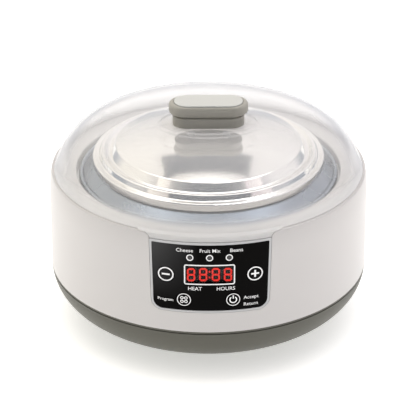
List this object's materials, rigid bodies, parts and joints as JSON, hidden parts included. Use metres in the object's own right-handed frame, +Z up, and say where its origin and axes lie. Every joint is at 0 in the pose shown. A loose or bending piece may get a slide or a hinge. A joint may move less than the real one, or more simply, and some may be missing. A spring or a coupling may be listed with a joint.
{
  "type": "yogurt maker",
  "caption": "Round countertop yogurt maker with steel pot and lid, see-through domed cover with a knob, and a key panel with a display.",
  "frame": {"origin": "on the floor under the centre of the round body", "axes": "+Z up, control panel towards -Y, +X to the right of someone facing the panel"},
  "size_m": [0.21, 0.21, 0.15],
  "materials": {
    "base_plastic": "fine spark texture, grey ABS",
    "body_plastic": "satin gloss off-white ABS",
    "cover_plastic": "milky see-through polypropylene",
    "knob_plastic": "satin grey ABS",
    "inlay_plastic": "light grey gloss",
    "panel_gloss": "black high gloss",
    "panel_trim": "light grey trim",
    "window_smoke": "smoked clear acrylic",
    "key_gloss": "black high gloss, printed ring",
    "digit_red": "lit red segments",
    "clear_pipe": "clear acrylic",
    "steel_satin": "satin stainless steel",
    "steel_mirror": "mirror-polished stainless steel",
    "liner_aluminium": "anodised aluminium",
    "silicone": "translucent white silicone",
    "foot_rubber": "black rubber",
    "zinc_screw": "zinc-plated steel",
    "board_green": "glass-epoxy laminate with solder mask",
    "component_black": "moulded epoxy",
    "component_white": "white nylon",
    "transformer_core": "yellow tape over ferrite",
    "element_silicone": "orange silicone heater mat",
    "shield_steel": "galvanised steel",
    "pin_brass": "nickel-flashed brass",
    "wire_white": "silicone-sleeved wire",
    "ribbon_grey": "grey PVC ribbon"
  },
  "bodies": {
    "housing": {"base_pan": "base_plastic", "rubber_feet": "foot_rubber", "base_screws": "zinc_screw", "body_shell": "body_plastic", "panel_frame": "panel_trim", "panel_lens": "panel_gloss", "display_window": "window_smoke", "control_board": "board_green", "board_screws": "zinc_screw", "key_switches": "component_black", "display_module": "component_black", "display_digits": "digit_red", "indicator_leds": "component_white", "light_pipes": "clear_pipe", "control_chip": "component_black", "buzzer": "component_black", "chamber_liner": "liner_aluminium", "heater_plate": "liner_aluminium", "heating_element": "element_silicone", "element_clamp": "shield_steel", "clamp_screws": "zinc_screw", "temperature_sensor": "component_black", "sensor_clip": "shield_steel", "thermal_fuse": "component_white", "fuse_clip": "shield_steel", "heat_shield": "shield_steel", "shield_screws": "zinc_screw", "power_board": "board_green", "power_board_screws": "zinc_screw", "transformer": "transformer_core", "capacitors": "component_black", "relay": "component_black", "terminal_blocks": "component_white", "heater_leads": "wire_white", "mains_leads": "wire_white", "board_connectors": "component_white", "ribbon_cable": "ribbon_grey", "inlet_housing": "component_black", "inlet_pins": "pin_brass"},
    "pot": {"pot": "steel_satin"},
    "lid": {"pot_lid": "steel_mirror", "lid_gasket": "silicone"},
    "cover": {"outer_cover": "cover_plastic", "knob_grip": "knob_plastic", "knob_inlay": "inlay_plastic", "knob_screws": "zinc_screw"},
    "minus_key": {"minus_key": "key_gloss"},
    "plus_key": {"plus_key": "key_gloss"},
    "function_key": {"function_key": "key_gloss"},
    "confirm_key": {"confirm_key": "key_gloss"}
  },
  "joints": [
    {"name": "pot_lift", "type": "slide", "parent": "housing", "child": "pot", "axis": [0, 0, 1], "range_m": [0, 0.085]},
    {"name": "lid_lift", "type": "slide", "parent": "pot", "child": "lid", "axis": [0, 0, 1], "range_m": [0, 0.04]},
    {"name": "cover_lift", "type": "slide", "parent": "lid", "child": "cover", "axis": [0, 0, 1], "range_m": [0, 0.05]},
    {"name": "minus_press", "type": "slide", "parent": "housing", "child": "minus_key", "axis": [0, 1, 0], "range_m": [0, 0.0006], "stiffness_N_per_m": 400, "springref_m": -0.0005},
    {"name": "plus_press", "type": "slide", "parent": "housing", "child": "plus_key", "axis": [0, 1, 0], "range_m": [0, 0.0006], "stiffness_N_per_m": 400, "springref_m": -0.0005},
    {"name": "function_press", "type": "slide", "parent": "housing", "child": "function_key", "axis": [0, 1, 0], "range_m": [0, 0.0006], "stiffness_N_per_m": 400, "springref_m": -0.0005},
    {"name": "confirm_press", "type": "slide", "parent": "housing", "child": "confirm_key", "axis": [0, 1, 0], "range_m": [0, 0.0006], "stiffness_N_per_m": 400, "springref_m": -0.0005}
  ]
}
